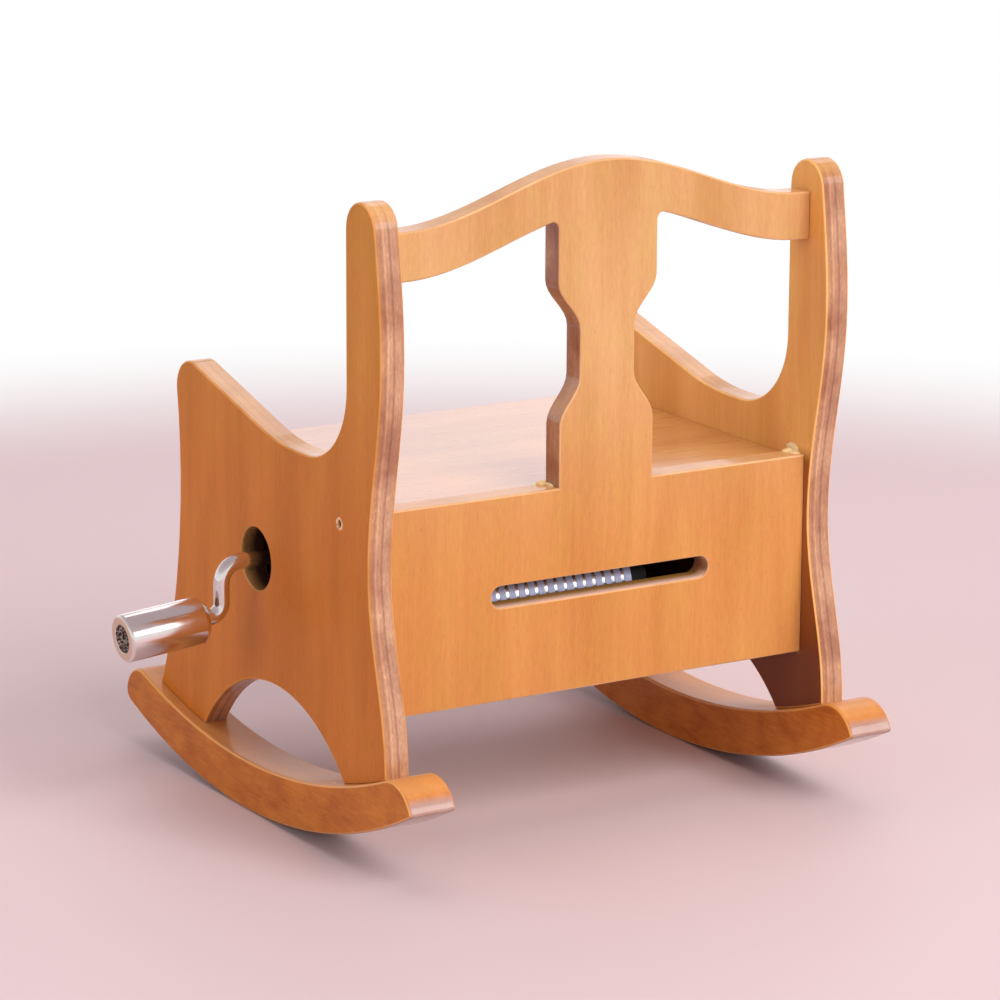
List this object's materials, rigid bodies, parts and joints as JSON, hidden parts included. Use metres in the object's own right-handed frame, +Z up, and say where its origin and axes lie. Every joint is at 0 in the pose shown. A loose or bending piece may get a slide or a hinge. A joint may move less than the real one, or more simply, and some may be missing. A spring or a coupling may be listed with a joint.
{
  "type": "cylinder music box",
  "caption": "Miniature plywood rocking chair with a hand-cranked cylinder music movement in the box under its seat, seen through a slot in the back.",
  "frame": {"origin": "On the table, midway between the two side panels, straight under the centre of the rockers' running arc, where the rockers touch the table.", "axes": "+Z up; +Y towards the chair's back; +X towards the crank side, along the cylinder's axis."},
  "size_m": [0.0941, 0.081, 0.0907],
  "materials": {
    "panel_ply": "satin",
    "rocker_wood": "satin",
    "back_ply": "satin",
    "dark_steel": "satin",
    "grey_casting": "satin",
    "black_plastic": "matte",
    "bracket_steel": "satin",
    "steel": "satin",
    "comb_steel": "satin",
    "lead_grey": "matte",
    "white_plastic": "satin",
    "drum_steel": "satin",
    "nickel": "polished",
    "brass": "satin"
  },
  "bodies": {
    "chair": {"side_panel_crank": "panel_ply", "side_panel_far": "panel_ply", "rocker_crank": "rocker_wood", "rocker_far": "rocker_wood", "back_panel": "back_ply", "seat_board": "back_ply", "front_board": "back_ply", "bottom_board": "back_ply", "nails": "dark_steel", "bedplate": "grey_casting", "drum_bracket": "black_plastic", "gear_bracket": "bracket_steel", "bracket_screws": "steel", "mount_screws": "steel", "comb": "comb_steel", "comb_weights": "lead_grey", "comb_screws": "steel", "wheel_stud": "steel"},
    "cylinder": {"drum": "drum_steel", "drum_plug": "white_plastic", "drum_gear": "white_plastic", "arbor": "steel"},
    "middle_gear": {"wheel": "white_plastic"},
    "crank": {"crank": "nickel", "crank_pinion": "brass", "crank_collar": "steel", "knob_ring": "dark_steel"},
    "knob": {"knob": "nickel"}
  },
  "joints": [
    {"name": "crank_spin", "type": "hinge", "parent": "chair", "child": "crank", "pos_m": [0.0413, 0.001, 0.03509], "axis": [1, 0, 0], "continuous": true},
    {"name": "knob_spin", "type": "hinge", "parent": "crank", "child": "knob", "pos_m": [0.0413, 0.001, 0.02804], "axis": [0.9959, 0, -0.0906], "continuous": true},
    {"name": "cylinder_spin", "type": "hinge", "parent": "chair", "child": "cylinder", "pos_m": [0, 0.0189, 0.0302], "axis": [1, 0, 0], "continuous": true},
    {"name": "middle_gear_spin", "type": "hinge", "parent": "chair", "child": "middle_gear", "pos_m": [0.023, 0.01042, 0.0339], "axis": [1, 0, 0], "continuous": true}
  ],
  "couplings": [
    {"joint": "middle_gear_spin", "follows": "crank_spin", "ratio": -0.35714},
    {"joint": "cylinder_spin", "follows": "crank_spin", "ratio": 0.17143}
  ]
}
